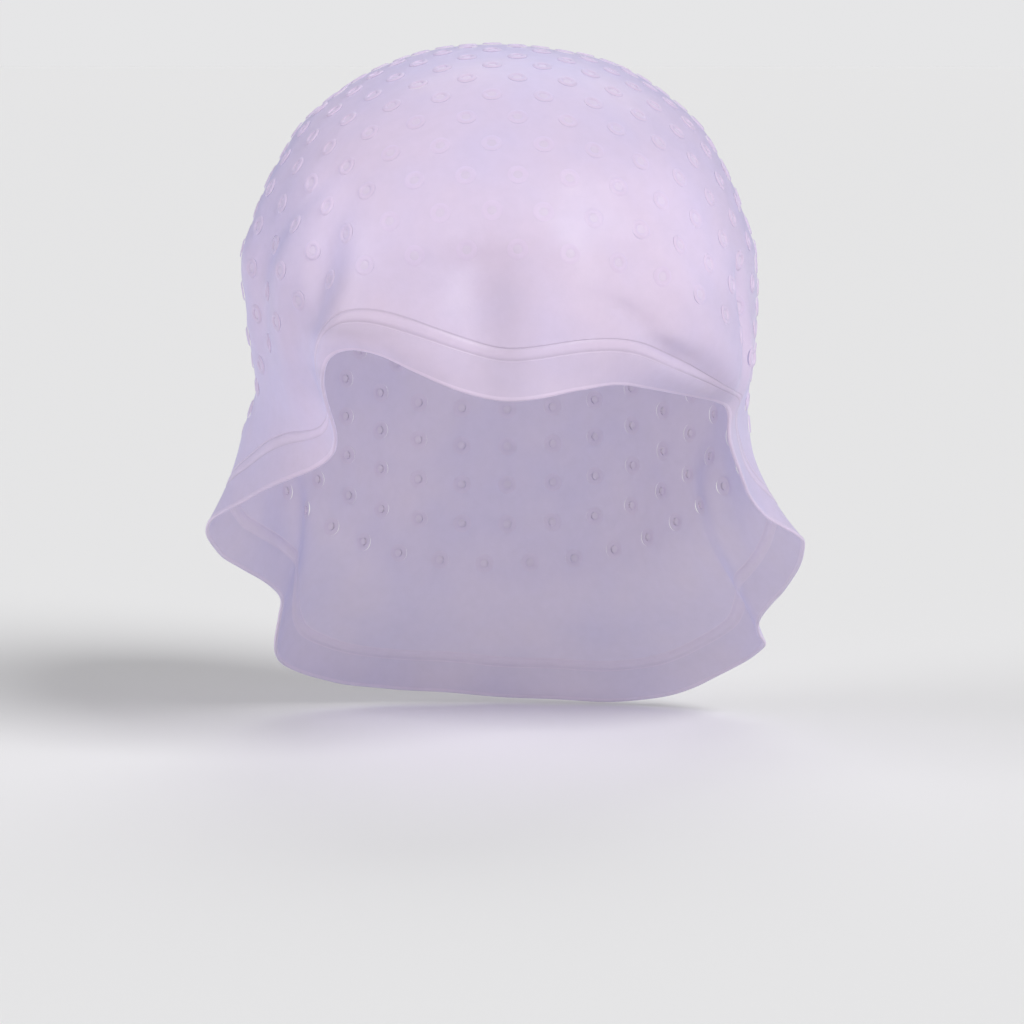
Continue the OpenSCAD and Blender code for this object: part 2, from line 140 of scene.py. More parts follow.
def crown_hit(d):
    c = np.where(d[..., 2] > 0, RISE, DROP)
    k = ((np.abs(d[..., 0]) / HALF_W) ** POWER + (np.abs(d[..., 1]) / HALF_D) ** POWER
         + (np.abs(d[..., 2]) / c) ** POWER) ** (-1 / POWER)
    return CENTRE + k[..., None] * d


def outward(th):
    return np.cos(th)[..., None] * AX_FRONT + np.sin(th)[..., None] * AX_SIDE


def crown_point(th, ph):
    th, ph = np.broadcast_arrays(np.asarray(th, float), np.asarray(ph, float))
    return crown_hit(np.cos(ph)[..., None] * AX_UP + np.sin(ph)[..., None] * outward(th))


def edge_at(u):
    n = len(EDGE)
    i = np.floor(u).astype(int)
    t = (u - i)[..., None]
    a, b, c, d = (EDGE[(i + k) % n] for k in (-1, 0, 1, 2))
    return 0.5 * (2 * b + (c - a) * t + (2 * a - 5 * b + 4 * c - d) * t ** 2 + (3 * b - a - 3 * c + d) * t ** 3)


def columns(u):
    """Bearing, departure angle and Bezier control points of the skirt curve at places u round the edge."""
    e = edge_at(u)
    p = e[..., :3]
    rel = p - CENTRE
    th = np.arctan2(rel @ AX_SIDE, rel @ AX_FRONT)
    out = outward(th)
    up = unit(math.cos(TILT) * AX_UP + (np.cos(th) * math.sin(TILT))[..., None] * out)
    od = unit(out - np.sum(out * up, -1, keepdims=True) * up)
    b = np.radians(e[..., 3])[..., None]
    w = np.cos(b) * up - np.sin(b) * od
    ph = np.radians(e[..., 4])
    d = crown_point(th, ph)
    t = unit(crown_point(th, ph + 0.0087) - d)
    l = np.linalg.norm(p - d, axis=-1, keepdims=True)
    return th, ph, (d, d + 0.40 * l * t, p + 0.42 * l * w, p)


def bezier(k, v):
    v = np.asarray(v, float)[..., None]
    u = 1 - v
    return u ** 3 * k[0] + 3 * u ** 2 * v * k[1] + 3 * u * v ** 2 * k[2] + v ** 3 * k[3]


def skirt_point(k, v):
    return folded(bezier(k, v), 1 - np.asarray(v, float) ** 2)


COLS = 320
fine_u = np.linspace(0, len(EDGE), 16 * len(EDGE) + 1)
fine_p = edge_at(fine_u)[:, :3]
fine_s = np.r_[0, np.cumsum(np.linalg.norm(np.diff(fine_p, axis=0), axis=1))]
col_u = np.interp(np.arange(COLS) / COLS * fine_s[-1], fine_s, fine_u)
TH, PH, KEYS = columns(col_u)
rim = skirt_point(KEYS, np.ones(COLS))

# distance from the free edge down every column
V = np.linspace(0.05, 1, 240)
gap = np.empty((len(V), COLS))
for c in range(COLS):
    near = rim[(c + np.arange(-44, 45)) % COLS]
    pts = skirt_point(tuple(np.repeat(k[c:c + 1], len(V), 0) for k in KEYS), V)
    a, b = near[:-1], near[1:]
    ab = b - a
    t = np.clip(np.einsum("vsk,sk->vs", pts[:, None] - a[None], ab) / np.sum(ab * ab, 1), 0, 1)
    gap[:, c] = np.linalg.norm(pts[:, None] - a[None] - t[..., None] * ab[None], axis=2).min(1)


def at_gap(g):
    """Place on each column's curve at distance g from the edge, evened out a little round the cap."""
    out = np.empty(COLS)
    g = np.broadcast_to(g, COLS)
    for c in range(COLS):
        i = len(V) - 1 - int(np.argmax(gap[::-1, c] > g[c]))
        f = (gap[i, c] - g[c]) / max(1e-9, gap[i, c] - gap[i + 1, c]) if i < len(V) - 1 else 0
        out[c] = V[i] + f * (V[min(i + 1, len(V) - 1)] - V[i])
    for _ in range(3):
        out = sum(k * np.roll(out, j - 2) for j, k in enumerate(np.array([1, 4, 6, 4, 1]) / 16))
    return out


SHARE = edge_at(col_u)[:, 5]
V_BEAD, V_BAND, V_LIP = at_gap((BAND + BEAD_W) * SHARE), at_gap(BAND * SHARE), at_gap(LIP_W)


def wall_at(th, ph):
    """The wall at loft bearings and angles (radians), on the crown or past it on the skirt."""
    th = np.asarray(th, float)
    ph = np.asarray(ph, float)
    order = np.argsort(TH % (2 * math.pi))
    ts, us = (TH % (2 * math.pi))[order], col_u[order]
    n = len(EDGE)
    ts = np.r_[ts[-1] - 2 * math.pi, ts, ts[0] + 2 * math.pi]
    wrapped = np.unwrap(np.r_[us[-1], us, us[0]], period=n)
    u = np.interp(th % (2 * math.pi), ts, wrapped) % n
    _, pd, keys = columns(u)
    far = np.linalg.norm(crown_point(th, ph) - crown_point(th, pd), axis=-1)
    lo, hi = np.zeros(len(th)), np.full(len(th), 0.9)
    for _ in range(18):
        m = (lo + hi) / 2
        short = np.linalg.norm(bezier(keys, m) - keys[0], axis=-1) < far
        lo, hi = np.where(short, m, lo), np.where(short, hi, m)
    on_skirt = ph > pd
    return np.where(on_skirt[:, None], skirt_point(keys, (lo + hi) / 2), folded(crown_point(th, ph)))


# ------------------------------------------------------------------ places of the ports
ROW_TILT, ROW_STEP, FIRST, PITCH, ROWS = math.radians(31.0), 7.0, 110.9, 16.0, 18
P_UP = np.array([0, math.sin(ROW_TILT), math.cos(ROW_TILT)])
P_FRONT = np.array([0, -math.cos(ROW_TILT), math.sin(ROW_TILT)])
ty, tz = (math.sin(ROW_TILT) * HALF_D) ** (1 / (POWER - 1)), (math.cos(ROW_TILT) * RISE) ** (1 / (POWER - 1))
tk = (ty ** POWER + tz ** POWER) ** (-1 / POWER)
ROW_TOP = np.array([0, HALF_D * ty * tk, RISE * tz * tk])


def row_point(level, turn):
    base = ROW_TOP + (level - ROW_TOP @ P_UP) * P_UP
    e = np.cos(turn)[:, None] * P_FRONT + np.sin(turn)[:, None] * AX_SIDE
    lo, hi = np.zeros(len(turn)), np.full(len(turn), 150.0)
    for _ in range(30):
        m = (lo + hi) / 2
        d = base + m[:, None] * e
        f = ((np.abs(d[:, 0]) / HALF_W) ** POWER + (np.abs(d[:, 1]) / HALF_D) ** POWER
             + (np.abs(d[:, 2]) / np.where(d[:, 2] > 0, RISE, DROP)) ** POWER)
        lo, hi = np.where(f > 1, lo, m), np.where(f > 1, m, hi)
    return base + lo[:, None] * e


dirs = []
for k in range(ROWS):
    ph = math.radians(FIRST - ROW_STEP * k)
    level = (crown_hit(math.cos(ph) * P_UP + math.sin(ph) * P_FRONT) - CENTRE) @ P_UP
    turn = np.linspace(0, 2 * math.pi, 37)
    p = row_point(level, turn)
    s = np.r_[0, np.cumsum(np.linalg.norm(np.diff(p, axis=0), axis=1))]
    n = max(4, round(s[-1] / PITCH))
    where = ((5.5 if k % 2 == 0 else -2.5) + s[-1] * np.arange(n) / n) % s[-1]
    dirs.append(row_point(level, np.interp(where, s, turn)))
dirs = np.concatenate(dirs + [ROW_TOP[None]])
port_th = np.arctan2(dirs @ AX_SIDE, dirs @ AX_FRONT)
port_ph = np.arccos(dirs @ AX_UP / np.linalg.norm(dirs, axis=1))
PORT = wall_at(port_th, port_ph)
# a ring is stiffer than the wall: it lies on the mean plane of the wall under its rim
aside = 0.028 / np.maximum(np.sin(port_ph), 0.15)
under = [wall_at(port_th, port_ph + 0.028), wall_at(port_th, port_ph - 0.028),
         wall_at(port_th + aside, port_ph), wall_at(port_th - aside, port_ph)]
PORT_N = unit(np.cross(under[0] - under[1], under[2] - under[3]))
PORT = PORT + (np.sum((sum(under) / 4 - PORT) * PORT_N, 1) + 0.04)[:, None] * PORT_N
LOOSE = np.max([np.abs(np.sum((p - PORT) * PORT_N, 1)) for p in under], 0) > 0.25  # its side shows at a crease

# ------------------------------------------------------------------ the wall as one grid of points, top down
CROWN_ROWS, SKIRT_ROWS = 70, 30
# the bead: a crisp groove, a soft raised strip and a shallower groove, as places across it and heights
bead_f = np.array([0.045, 0.10, 0.17, 0.26, 0.38, 0.52, 0.64, 0.74, 0.82, 0.89, 0.95, 1.0])
bead_h = np.array([-0.13, -0.20, -0.05, 0.07, 0.14, 0.17, 0.16, 0.11, 0.01, -0.11, -0.13, 0.0])
bead_in = np.array([0.0, 0.0, 0.10, 0.24, 0.32, 0.34, 0.32, 0.24, 0.10, 0.0, 0.0])
band_f = np.linspace(0, 1, 11)[1:]
lip_f = np.array([0.15, 0.3, 0.45, 0.6, 0.74, 0.86, 0.95, 1.0])
rows = [folded(crown_point(TH, PH * r / CROWN_ROWS)) for r in range(1, CROWN_ROWS + 1)]
rows += [skirt_point(KEYS, V_BEAD * r / SKIRT_ROWS) for r in range(1, SKIRT_ROWS + 1)]
rows += [skirt_point(KEYS, V_BEAD + (V_BAND - V_BEAD) * f) for f in bead_f]
rows += [skirt_point(KEYS, V_BAND + (V_LIP - V_BAND) * f) for f in band_f]
rows += [skirt_point(KEYS, V_LIP + (1 - V_LIP) * f) for f in lip_f]
GRID = np.array(rows)
R_SKIRT = CROWN_ROWS + SKIRT_ROWS - 1
R_BAND = R_SKIRT + len(bead_f)
R_LIP = R_BAND + len(band_f)
R_EDGE = R_LIP + len(lip_f)
APEX = folded(crown_point(np.zeros(1), np.zeros(1)))[0]
above = np.concatenate([np.repeat(APEX[None, None], COLS, 1), GRID[:-1]])
below = np.concatenate([GRID[1:], 2 * GRID[-1:] - GRID[-2:-1]])
NORM = unit(np.cross(below - above, np.roll(GRID, -1, 1) - np.roll(GRID, 1, 1)))
# the sheet swells a little round every port
for r in range(R_SKIRT):
    near = np.linalg.norm(GRID[r][:, None] - PORT[None], axis=2)
    GRID[r] += (PILLOW * np.exp(-(near / 5.0) ** 2).sum(1))[:, None] * NORM[r]
PORT = PORT + PILLOW * PORT_N
above = np.concatenate([np.repeat(APEX[None, None], COLS, 1), GRID[:-1]])
below = np.concatenate([GRID[1:], 2 * GRID[-1:] - GRID[-2:-1]])
NORM = unit(np.cross(below - above, np.roll(GRID, -1, 1) - np.roll(GRID, 1, 1)))
APEX_N = unit(NORM[0].mean(0))


def lifted(r, h):
    return GRID[r] + np.asarray(h, float) * NORM[r]


def mesh_object(name, verts, faces, sharp=42.0, seam=None):
    """seam marks the faces that lie inside the sheet, where one zone of the moulding meets the next."""
    me = bpy.data.meshes.new(name)
    me.from_pydata((np.asarray(verts) * MM).tolist(), [], faces)
    me.update()
    mark(me, np.zeros(len(faces)) if seam is None else seam)
    ob = bpy.data.objects.new(name, me)
    bpy.context.scene.collection.objects.link(ob)
    finish_shading(me, sharp)
    return ob


def mark(me, seam):
    """Stores the seam flag of every face, and the painted shade of the folds at every point, painted light where below
    zero.
    """
    at = me.attributes.get("seam") or me.attributes.new("seam", "FLOAT", "FACE")
    at.data.foreach_set("value", np.asarray(seam, np.float32))
    at = me.attributes.get("shade") or me.attributes.new("shade", "FLOAT", "POINT")
    where = np.empty(3 * len(me.vertices))
    me.vertices.foreach_get("co", where)
    at.data.foreach_set("value", fold_push(where.reshape(-1, 3) / MM, PAINTED_SHADE_AND_LIGHT).astype(np.float32))


def finish_shading(me, sharp):
    me.polygons.foreach_set("use_smooth", np.ones(len(me.polygons), bool))
    me.set_sharp_from_angle(angle=math.radians(sharp))


def hoop(name, rings, sharp=42.0, joins=()):
    """A closed hoop from rings of points listed in order round its section, outside first and then back up inside.
    joins lists the steps of the section that lie inside the sheet."""
    n = len(rings)
    i, c = np.meshgrid(np.arange(n), np.arange(COLS), indexing="ij")
    j, d = (i + 1) % n, (c + 1) % COLS
    f = np.stack([i * COLS + c, j * COLS + c, j * COLS + d, i * COLS + d], -1).reshape(-1, 4)
    return mesh_object(name, np.concatenate(rings), f.tolist(), sharp, np.isin(i, [k % n for k in joins]).ravel())


def crown_wall():
    outer = [lifted(r, 0) for r in range(R_SKIRT + 1)]
    inner = [lifted(r, -WALL) for r in range(R_SKIRT, -1, -1)]
    rings = outer + inner
    n = len(rings)
    verts = np.concatenate(rings + [APEX[None], (APEX - WALL * APEX_N)[None]])
    i, c = np.meshgrid(np.arange(n - 1), np.arange(COLS), indexing="ij")
    d = (c + 1) % COLS
    f = np.stack([i * COLS + c, (i + 1) * COLS + c, (i + 1) * COLS + d, i * COLS + d], -1).reshape(-1, 4).tolist()
    seam = list((i == R_SKIRT).ravel()) + [False] * (2 * COLS)
    for c in range(COLS):
        d = (c + 1) % COLS
        f.append((n * COLS, c, d))
        f.append((n * COLS + 1, (n - 1) * COLS + d, (n - 1) * COLS + c))
    return mesh_object("cap_wall", verts, f, seam=seam)


def turned(name, profile, sides, sharp=42.0, closed=True, joins=(), level=0.0, flat=0.0):
    """The same turned shape at every port. profile is (radius, height) pairs; closed ones are rings, others run axis to
    axis.
    joins lists the steps of the profile that lie inside the sheet. Where the ports are faint, level is added to the
    painted shade, as painted light where it is below zero, to bring their tone near the wall's own, and flat is the
    share of the rise that is lost."""
    prof = np.array(profile, float)
    ang = np.arange(sides) / sides * 2 * math.pi
    z = PORT_N
    x = unit(np.cross(np.where(np.abs(z[:, 2:3]) < 0.9, [[0, 0, 1.0]], [[1.0, 0, 0]]), z))
    y = np.cross(z, x)
    body = prof if closed else prof[1:-1]
    n, m = len(body), len(PORT)
    ring = np.stack([body[:, None, 0] * np.cos(ang), body[:, None, 0] * np.sin(ang),
                     np.repeat(body[:, None, 1], sides, 1)], -1).reshape(-1, 3)
    weak = fold_push(PORT, FAINT)
    rise = ring[None, :, 2] - flat * weak[:, None] * np.maximum(ring[None, :, 2], 0)
    pts = PORT[:, None] + ring[None, :, 0:1] * x[:, None] + ring[None, :, 1:2] * y[:, None] + rise[..., None] * z[:, None]
    i, c = np.meshgrid(np.arange(n if closed else n - 1), np.arange(sides), indexing="ij")
    j, d = (i + 1) % n, (c + 1) % sides
    f = np.stack([i * sides + c, j * sides + c, j * sides + d, i * sides + d], -1).reshape(-1, 4)
    if closed:
        verts = pts.reshape(-1, 3)
        faces = (f[None] + (np.arange(m) * n * sides)[:, None, None]).reshape(-1, 4).tolist()
        seam = (np.isin(i, joins).ravel() & ~(LOOSE[:, None] & (i == joins[-1]).ravel())).ravel()
    else:
        ends = np.stack([PORT + prof[0, 1] * z, PORT + prof[-1, 1] * z], 1)
        per = n * sides + 2
        verts = np.concatenate([pts, ends], 1).reshape(-1, 3)
        faces = (f[None] + (np.arange(m) * per)[:, None, None]).reshape(-1, 4).tolist()
        c = np.arange(sides)
        d = (c + 1) % sides
        top = np.stack([np.full(sides, n * sides), c, d], -1)
        bot = np.stack([np.full(sides, n * sides + 1), (n - 1) * sides + d, (n - 1) * sides + c], -1)
        faces += (np.concatenate([top, bot])[None] + (np.arange(m) * per)[:, None, None]).reshape(-1, 3).tolist()
        seam = np.r_[np.tile(np.isin(i, joins).ravel(), m), np.zeros(2 * sides * m)]
    ob = mesh_object(name, verts, faces, sharp, seam)
    axis = ob.data.attributes.new("axis", "FLOAT_VECTOR", "POINT")
    axis.data.foreach_set("vector", np.repeat(z, len(verts) // m, 0).astype(np.float32).ravel())
    weak = np.repeat(weak, len(verts) // m)
    ob.data.attributes.new("faint", "FLOAT", "POINT").data.foreach_set("value", weak.astype(np.float32))
    # painted shade and light of the ports: level shifts it where they are faint
    tone = ob.data.attributes["shade"].data
    now = np.empty(len(tone), np.float32)
    tone.foreach_get("value", now)
    tone.foreach_set("value", (now + level * weak).astype(np.float32))
    return ob


wall = crown_wall()
bead_s = np.minimum(1, 1.25 * SHARE)
bead = hoop("cap_bead", [lifted(R_SKIRT, 0)] + [GRID[R_SKIRT + 1 + i] + (h * bead_s)[:, None] * NORM[R_SKIRT + 1 + i]
                                               for i, h in enumerate(bead_h)]
            + [lifted(R_BAND, -WALL)]
            + [GRID[R_SKIRT + 1 + i] - (WALL + bead_in[i] * bead_s)[:, None] * NORM[R_SKIRT + 1 + i]
               for i in range(len(bead_in) - 1, -1, -1)]
            + [lifted(R_SKIRT, -WALL)], joins=(len(bead_h), -1))
# painted shade: the milk is made darker in the two grooves beside the bead, where less light reaches
tone = bead.data.attributes["shade"].data
deep = np.empty(len(tone), np.float32)
tone.foreach_get("value", deep)
groove = np.zeros(len(tone) // COLS)
groove[1:13] = 1.2 * np.array([0.8, 1.0, 0.5, 0.1, 0, 0, 0, 0.1, 0.5, 1.0, 1.0, 0])
tone.foreach_set("value", (deep + np.repeat(groove, COLS)).astype(np.float32))
band = hoop("cap_band", [lifted(r, 0) for r in range(R_BAND, R_LIP + 1)]
            + [lifted(r, -WALL) for r in range(R_LIP, R_BAND - 1, -1)], joins=(R_LIP - R_BAND, -1))


def lip_lift(f, side):
    """Rounded lip: both faces swell, then close on each other in a half round."""
    k = max(0.0, (f - 0.55) / 0.45)
    return -WALL / 2 + side * (WALL / 2 + LIP_S * smooth(f / 0.4)) * math.sqrt(max(0.0, 1 - k ** 2.4))


lip = hoop("cap_lip", [lifted(R_LIP, 0)] + [lifted(R_LIP + 1 + i, lip_lift(f, 1)) for i, f in enumerate(lip_f)]
           + [lifted(R_LIP + 1 + i, lip_lift(f, -1)) for i, f in reversed(list(enumerate(lip_f[:-1])))]
           + [lifted(R_LIP, -WALL)], sharp=60, joins=(-1,))

# holes where the ports sit
PORT_SIDES = 20
cutter = turned("cutter", [(0, 2.5), (3.22, 2.5), (3.22, -3.0), (0, -3.0)], PORT_SIDES, closed=False)
mod = wall.modifiers.new("ports", "BOOLEAN")
mod.operation, mod.solver, mod.object = "DIFFERENCE", "MANIFOLD", cutter
bpy.context.view_layer.update()
cut = bpy.data.meshes.new_from_object(wall.evaluated_get(bpy.context.evaluated_depsgraph_get()))
wall.modifiers.clear()
wall.data = cut
wall.data.name = "cap_wall"
me = wall.data
bm = bmesh.new()
bm.from_mesh(me)
bmesh.ops.dissolve_degenerate(bm, edges=bm.edges, dist=2e-6)
bm.to_mesh(me)
bm.free()
mid = np.empty(3 * len(me.polygons))
way = np.empty(3 * len(me.polygons))
me.polygons.foreach_get("center", mid)
me.polygons.foreach_get("normal", way)
mid, way = mid.reshape(-1, 3) / MM, way.reshape(-1, 3)
seam = np.empty(len(mid))
me.attributes["seam"].data.foreach_get("value", seam)
tree = KDTree(len(PORT))
for i, p in enumerate(PORT):
    tree.insert(p, i)
tree.balance()
for i, p in enumerate(mid):
    _, k, far = tree.find(p)
    if far < 4.2 and abs(way[i] @ PORT_N[k]) < 0.35:
        off = p - PORT[k]
        if abs(np.linalg.norm(off - (off @ PORT_N[k]) * PORT_N[k]) - 3.2) < 0.12:
            seam[i] = 1
mark(me, seam)
finish_shading(me, 42)
bpy.data.objects.remove(cutter)

rings = turned("cap_port_rings", [(1.42, -1.0), (1.42, -0.36), (1.42, 0.0), (1.58, 0.20), (1.90, 0.40), (2.3, 0.47),
                                  (2.72, 0.40), (3.02, 0.20), (3.25, -0.03), (3.25, -1.0)], PORT_SIDES, joins=(1, 8),
               level=-0.42, flat=0.65)
membranes = turned("cap_port_membranes", [(0, 0.06), (0.8, 0.05), (1.43, 0.0), (1.43, -0.35), (0.8, -0.31), (0, -0.30)],
                   PORT_SIDES, closed=False, joins=(1,), level=0.45)


def mark_inner(ob, places, ways):
    """Flags the faces that look towards the inside of the bag, by the outward direction at the nearest place."""
    near = KDTree(len(places))
    for i, p in enumerate(places):
        near.insert(p, i)
    near.balance()
    me = ob.data
    mid, way = np.empty(3 * len(me.polygons)), np.empty(3 * len(me.polygons))
    me.polygons.foreach_get("center", mid)
    me.polygons.foreach_get("normal", way)
    at = [near.find(p)[1] for p in mid.reshape(-1, 3) / MM]
    inner = me.attributes.new("inner", "FLOAT", "FACE")
    inner.data.foreach_set("value", (np.sum(way.reshape(-1, 3) * ways[at], 1) < 0).astype(np.float32))


for ob in (wall, bead, band, lip):
    mark_inner(ob, GRID.reshape(-1, 3), NORM.reshape(-1, 3))
for ob in (rings, membranes):
    mark_inner(ob, PORT, PORT_N)


# ------------------------------------------------------------------ materials
def nodes_of(name):
    m = bpy.data.materials.new(name)
    m.use_nodes = True
    nt = m.node_tree
    nt.nodes.clear()
    return m, nt


def add(nt, kind, **values):
    n = nt.nodes.new(kind)
    for k, v in values.items():
        if k in n.inputs:
            n.inputs[k].default_value = v
        else:
            setattr(n, k, v)
    return n


def math_node(nt, op, a, b=None, clamp=False):
    n = nt.nodes.new("ShaderNodeMath")
    n.operation, n.use_clamp = op, clamp
    for i, v in enumerate((a, b)):
        if v is None:
            continue
        if isinstance(v, (int, float)):
            n.inputs[i].default_value = v
        else:
            nt.links.new(v, n.inputs[i])
    return n.outputs[0]


def silicone(name, warm, cool, dense, glow=0.26, rough=0.36, grain=1.0, blur=0.0):
    """Milky, see-through silicone. dense is how much a face-on wall hides; glow is the share of light that comes through
    the milk. A ray that is already inside the wall passes its second face freely, so each wall counts once. blur turns the
    shading of small relief towards the port's own axis, as light spreading in the milk does."""
    m, nt = nodes_of(name)
    L = nt.links.new
    geo = nt.nodes.new("ShaderNodeNewGeometry")
    pos = nt.nodes.new("ShaderNodeTexCoord").outputs["Object"]
    cloud = add(nt, "ShaderNodeTexNoise", Scale=22.0, Detail=3.0, Roughness=0.55)
    fine = add(nt, "ShaderNodeTexNoise", Scale=260.0, Detail=4.0, Roughness=0.6)
    orange = add(nt, "ShaderNodeTexNoise", Scale=1700.0, Detail=2.0, Roughness=0.5)
    for n in (cloud, fine, orange):
        L(pos, n.inputs["Vector"])
    # painted shade: 1 on the inner face well inside the bag, less towards the front; it makes the inside darker and
    # bluer
    inner = add(nt, "ShaderNodeAttribute", attribute_name="inner")
    split = nt.nodes.new("ShaderNodeSeparateXYZ")
    L(pos, split.inputs[0])
    rear = add(nt, "ShaderNodeMapRange", **{"From Min": -0.05, "From Max": 0.07, "To Min": 0.35, "To Max": 1.0})
    L(split.outputs["Y"], rear.inputs["Value"])
    inner_painted_shade = math_node(nt, "MULTIPLY", inner.outputs["Fac"], rear.outputs[0])
    tone = add(nt, "ShaderNodeMapRange", **{"From Min": 0.34, "From Max": 0.66, "To Min": -0.06, "To Max": 0.30})
    L(cloud.outputs[0], tone.inputs["Value"])
    face = add(nt, "ShaderNodeLayerWeight", Blend=0.5)
    edge = math_node(nt, "POWER", face.outputs["Facing"], 1.7)
    hue = math_node(nt, "ADD", tone.outputs[0], math_node(nt, "MULTIPLY", edge, 0.75))
    hue = math_node(nt, "ADD", hue, math_node(nt, "MULTIPLY", inner_painted_shade, 0.35), clamp=True)
    colour = add(nt, "ShaderNodeMix", data_type="RGBA")
    L(hue, colour.inputs["Factor"])
    colour.inputs[6].default_value = (*warm, 1)
    colour.inputs[7].default_value = (*cool, 1)
    milk = add(nt, "ShaderNodeMix", data_type="RGBA", blend_type="MULTIPLY")
    L(colour.outputs[2], milk.inputs[6])
    speck = add(nt, "ShaderNodeMapRange", **{"From Min": 0.3, "From Max": 0.7, "To Min": 0.965, "To Max": 1.0})
    L(fine.outputs[0], speck.inputs["Value"])
    # painted shade of the folds, the bead's grooves and the ports, painted light where below zero; SHADE is its
    # strength
    deep = add(nt, "ShaderNodeAttribute", attribute_name="shade")
    shade = math_node(nt, "SUBTRACT", 1.0, math_node(nt, "MULTIPLY", deep.outputs["Fac"], SHADE))
    shade = math_node(nt, "MULTIPLY", shade, math_node(nt, "SUBTRACT", 1.0, math_node(nt, "MULTIPLY", inner_painted_shade, 0.13)))
    shade = math_node(nt, "MULTIPLY", shade, speck.outputs[0])
    grey = nt.nodes.new("ShaderNodeCombineColor")
    for i in range(3):
        L(shade, grey.inputs[i])
    L(grey.outputs[0], milk.inputs[7])
    milk.inputs["Factor"].default_value = 1.0
    b1 = add(nt, "ShaderNodeBump", Strength=0.10 * grain, Distance=0.0006)
    b2 = add(nt, "ShaderNodeBump", Strength=0.16 * grain, Distance=0.00012)
    L(fine.outputs[0], b1.inputs["Height"])
    L(orange.outputs[0], b2.inputs["Height"])
    L(b1.outputs[0], b2.inputs["Normal"])
    if blur:
        axis = nt.nodes.new("ShaderNodeVectorTransform")
        axis.vector_type, axis.convert_from, axis.convert_to = "NORMAL", "OBJECT", "WORLD"
        L(add(nt, "ShaderNodeAttribute", attribute_name="axis").outputs["Vector"], axis.inputs[0])
        meet = add(nt, "ShaderNodeVectorMath", operation="DOT_PRODUCT")
        L(geo.outputs["Incoming"], meet.inputs[0])
        L(axis.outputs[0], meet.inputs[1])
        same = add(nt, "ShaderNodeVectorMath", operation="SCALE")
        L(axis.outputs[0], same.inputs[0])
        L(math_node(nt, "SIGN", meet.outputs["Value"]), same.inputs["Scale"])
        turn = add(nt, "ShaderNodeMix", data_type="VECTOR")
        straight = math_node(nt, "MULTIPLY", math_node(nt, "ABSOLUTE", meet.outputs["Value"]), 2.0)
        straight = math_node(nt, "SUBTRACT", straight, 0.3, clamp=True)
        faint = add(nt, "ShaderNodeAttribute", attribute_name="faint")
        share = math_node(nt, "ADD", math_node(nt, "MULTIPLY", faint.outputs["Fac"], 0.3), blur)
        L(math_node(nt, "MULTIPLY", straight, share), turn.inputs["Factor"])
        L(geo.outputs["Normal"], turn.inputs[4])
        L(same.outputs[0], turn.inputs[5])
        level = add(nt, "ShaderNodeVectorMath", operation="NORMALIZE")
        L(turn.outputs[1], level.inputs[0])
        L(level.outputs[0], b1.inputs["Normal"])
    body = nt.nodes.new("ShaderNodeBsdfPrincipled")
    rmap = add(nt, "ShaderNodeMapRange", **{"To Min": rough - 0.05, "To Max": rough + 0.09})
    L(cloud.outputs[0], rmap.inputs["Value"])
    L(milk.outputs[2], body.inputs["Base Color"])
    L(rmap.outputs[0], body.inputs["Roughness"])
    L(b2.outputs[0], body.inputs["Normal"])
    body.inputs["IOR"].default_value = 1.41
    body.inputs["Specular IOR Level"].default_value = 0.42
    body.inputs["Sheen Weight"].default_value = 0.12
    body.inputs["Sheen Roughness"].default_value = 0.5
    through = nt.nodes.new("ShaderNodeBsdfTranslucent")
    L(milk.outputs[2], through.inputs["Color"])
    L(b1.outputs[0], through.inputs["Normal"])
    milky = nt.nodes.new("ShaderNodeMixShader")
    milky.inputs[0].default_value = glow
    L(body.outputs[0], milky.inputs[1])
    L(through.outputs[0], milky.inputs[2])
    clear = nt.nodes.new("ShaderNodeBsdfTransparent")
    clear.inputs["Color"].default_value = (0.95, 0.91, 0.985, 1)
    cover = math_node(nt, "ADD", math_node(nt, "MULTIPLY", edge, 1 - dense), dense, clamp=True)
    vary = math_node(nt, "MULTIPLY", math_node(nt, "SUBTRACT", cloud.outputs[0], 0.5), 0.12)
    cover = math_node(nt, "ADD", cover, vary, clamp=True)
    skin = nt.nodes.new("ShaderNodeMixShader")
    L(cover, skin.inputs[0])
    L(clear.outputs[0], skin.inputs[1])
    L(milky.outputs[0], skin.inputs[2])
    free = nt.nodes.new("ShaderNodeBsdfTransparent")
    out_mix = nt.nodes.new("ShaderNodeMixShader")
    inside = add(nt, "ShaderNodeAttribute", attribute_name="seam")
    L(math_node(nt, "MAXIMUM", geo.outputs["Backfacing"], inside.outputs["Fac"]), out_mix.inputs[0])
    L(skin.outputs[0], out_mix.inputs[1])
    L(free.outputs[0], out_mix.inputs[2])
    out = nt.nodes.new("ShaderNodeOutputMaterial")
    L(out_mix.outputs[0], out.inputs["Surface"])
    return m


PINK, VIOLET, SHADE = (0.86, 0.73, 0.88), (0.665, 0.63, 0.905), 0.10
m_wall = silicone("silicone_wall", PINK, VIOLET, 0.83)
# the band is the wall's silicone painted darker: painted shade, as the band turns under
m_band_painted_shade = silicone("silicone_band", (0.79, 0.675, 0.815), (0.66, 0.62, 0.88), 0.86)
m_bead = silicone("silicone_bead", (0.84, 0.71, 0.86), (0.72, 0.66, 0.89), 0.88, grain=0.6)
m_ring = silicone("silicone_ring", (0.825, 0.69, 0.855), (0.70, 0.65, 0.88), 0.86, grain=0.6, rough=0.42, blur=0.55)
